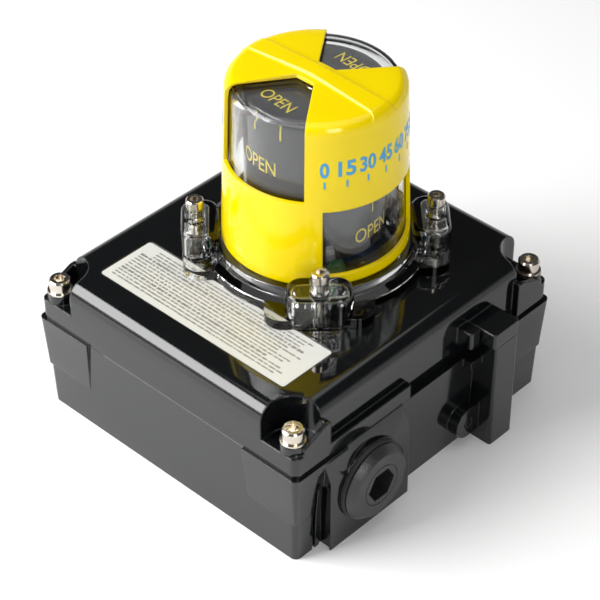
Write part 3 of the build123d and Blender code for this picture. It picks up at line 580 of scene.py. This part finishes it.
# ---------------------------------------------------------------------------
# Studio: white floor and surround, one large softbox on the left, one overhead
# and a narrow one on the right; the camera looks down on the front corner.
# ---------------------------------------------------------------------------
floor_form = bmesh.new()
bmesh.ops.create_grid(floor_form, x_segments=1, y_segments=1, size=3.0)
floor_mesh = bpy.data.meshes.new("floor")
floor_form.to_mesh(floor_mesh)
floor_form.free()
floor = bpy.data.objects.new("floor", floor_mesh)
bpy.context.scene.collection.objects.link(floor)
floor_paint = bpy.data.materials.new("floor_white")
floor_paint.use_nodes = True
floor_shader = floor_paint.node_tree.nodes["Principled BSDF"]
floor_shader.inputs["Base Color"].default_value = (0.9, 0.9, 0.9, 1)
floor_shader.inputs["Roughness"].default_value = 0.9
floor_shader.inputs["Specular IOR Level"].default_value = 0.1
floor_mesh.materials.append(floor_paint)

world = bpy.data.worlds.new("studio")
bpy.context.scene.world = world
world.use_nodes = True
sky = world.node_tree
sky.nodes.clear()
out = sky.nodes.new("ShaderNodeOutputWorld")
lit = sky.nodes.new("ShaderNodeBackground")
lit.inputs["Color"].default_value = (1, 1, 1, 1)
seen = sky.nodes.new("ShaderNodeBackground")
seen.inputs["Color"].default_value = (1, 1, 1, 1)
seen.inputs["Strength"].default_value = 1.0
path = sky.nodes.new("ShaderNodeLightPath")
direction = sky.nodes.new("ShaderNodeTexCoord")
split = sky.nodes.new("ShaderNodeSeparateXYZ")
fall = sky.nodes.new("ShaderNodeMapRange")
fall.inputs["From Min"].default_value = 0.10
fall.inputs["From Max"].default_value = 0.38
fall.inputs["To Min"].default_value = 0.85
fall.inputs["To Max"].default_value = 0.05
sky.links.new(direction.outputs["Generated"], split.inputs["Vector"])
sky.links.new(split.outputs["Z"], fall.inputs["Value"])
sky.links.new(fall.outputs["Result"], lit.inputs["Strength"])
through = sky.nodes.new("ShaderNodeBackground")
through.inputs["Color"].default_value = (1, 1, 1, 1)
through.inputs["Strength"].default_value = 0.75
clear = sky.nodes.new("ShaderNodeMixShader")
sky.links.new(path.outputs["Is Transmission Ray"], clear.inputs["Fac"])
sky.links.new(lit.outputs["Background"], clear.inputs[1])
sky.links.new(through.outputs["Background"], clear.inputs[2])
choose = sky.nodes.new("ShaderNodeMixShader")
sky.links.new(path.outputs["Is Camera Ray"], choose.inputs["Fac"])
sky.links.new(clear.outputs["Shader"], choose.inputs[1])
sky.links.new(seen.outputs["Background"], choose.inputs[2])
sky.links.new(choose.outputs["Shader"], out.inputs["Surface"])


def softbox(name, place, target, size_x, size_y, watts):
    """Rectangular soft light aimed at a point."""
    lamp = bpy.data.lights.new(name, "AREA")
    lamp.shape = "RECTANGLE"
    lamp.size = size_x
    lamp.size_y = size_y
    lamp.energy = watts
    box = bpy.data.objects.new(name, lamp)
    bpy.context.scene.collection.objects.link(box)
    aim = Vector(target) - Vector(place)
    turned = aim.to_track_quat("-Z", "Y").to_matrix().to_4x4()
    box.matrix_world = Matrix.Translation(Vector(place)) @ turned


MIDDLE = (0, 0, 0.06)
softbox("softbox_left", (-0.62, -0.78, 0.72), MIDDLE, 0.9, 0.85, 24)
softbox("softbox_overhead", (0.05, 0.1, 1.5), MIDDLE, 1.5, 1.5, 8)
softbox("softbox_right", (1.1, -0.5, 0.8), MIDDLE, 0.35, 0.8, 7)

# Camera placed from the case centre at joint level.
CASE_CENTRE = Vector((0, -11.4 * MM, 43.3 * MM))
AZIMUTH = math.radians(43.304)
ELEVATION = math.radians(39.247)
DISTANCE = 879.2 * MM
ASIDE = 1.757 * MM
ABOVE = 2.597 * MM
FOCAL_LENGTH = 132.8             # in mm, as the camera takes it
SENSOR_WIDTH = 36
level = math.cos(ELEVATION)
back = Vector((math.sin(AZIMUTH) * level, -math.cos(AZIMUTH) * level, math.sin(ELEVATION)))
right = Vector((math.cos(AZIMUTH), math.sin(AZIMUTH), 0))
up = back.cross(right)
lens = bpy.data.cameras.new("camera")
lens.lens = FOCAL_LENGTH
lens.sensor_width = SENSOR_WIDTH
camera = bpy.data.objects.new("camera", lens)
bpy.context.scene.collection.objects.link(camera)
eye = CASE_CENTRE + right * ASIDE + up * ABOVE + back * DISTANCE
turn = Matrix((right, up, back)).transposed().to_4x4()
camera.matrix_world = Matrix.Translation(eye) @ turn
bpy.context.scene.camera = camera

bpy.context.scene.view_settings.view_transform = "Standard"
